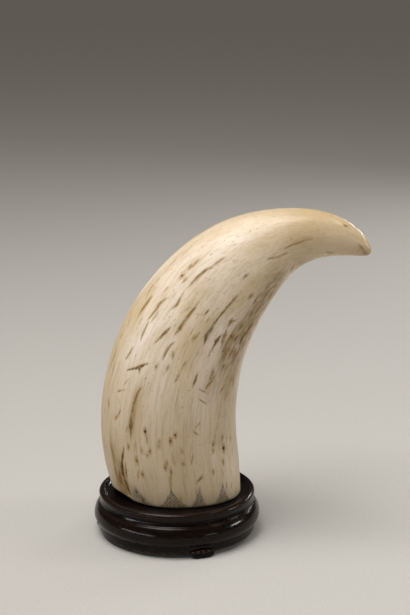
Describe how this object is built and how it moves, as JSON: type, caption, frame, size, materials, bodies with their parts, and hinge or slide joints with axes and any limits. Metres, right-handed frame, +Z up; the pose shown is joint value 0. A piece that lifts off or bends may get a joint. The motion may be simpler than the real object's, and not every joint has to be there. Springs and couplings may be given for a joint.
{
  "type": "scrimshaw whale tooth",
  "caption": "Curved scrimshaw whale tooth with an engraved dog-tooth border round its root, displayed upright in a round turned dark-wood stand on small scroll feet.",
  "frame": {"origin": "bottom centre of the bounding box, on the table under the whole object", "axes": "+Z up, +X the way the tooth's tip points, +Y to the back as the tooth is seen from its engraved front"},
  "size_m": [0.1264, 0.0776, 0.154],
  "materials": {
    "tooth_ivory": "polished old whale ivory, cream with brown lengthwise streaks",
    "stand_dark_wood": "very dark polished hardwood, near black with red-brown lights"
  },
  "bodies": {
    "root": {"tooth": "tooth_ivory", "stand": "stand_dark_wood", "stand_foot_1": "stand_dark_wood", "stand_foot_2": "stand_dark_wood", "stand_foot_3": "stand_dark_wood"}
  },
  "joints": []
}
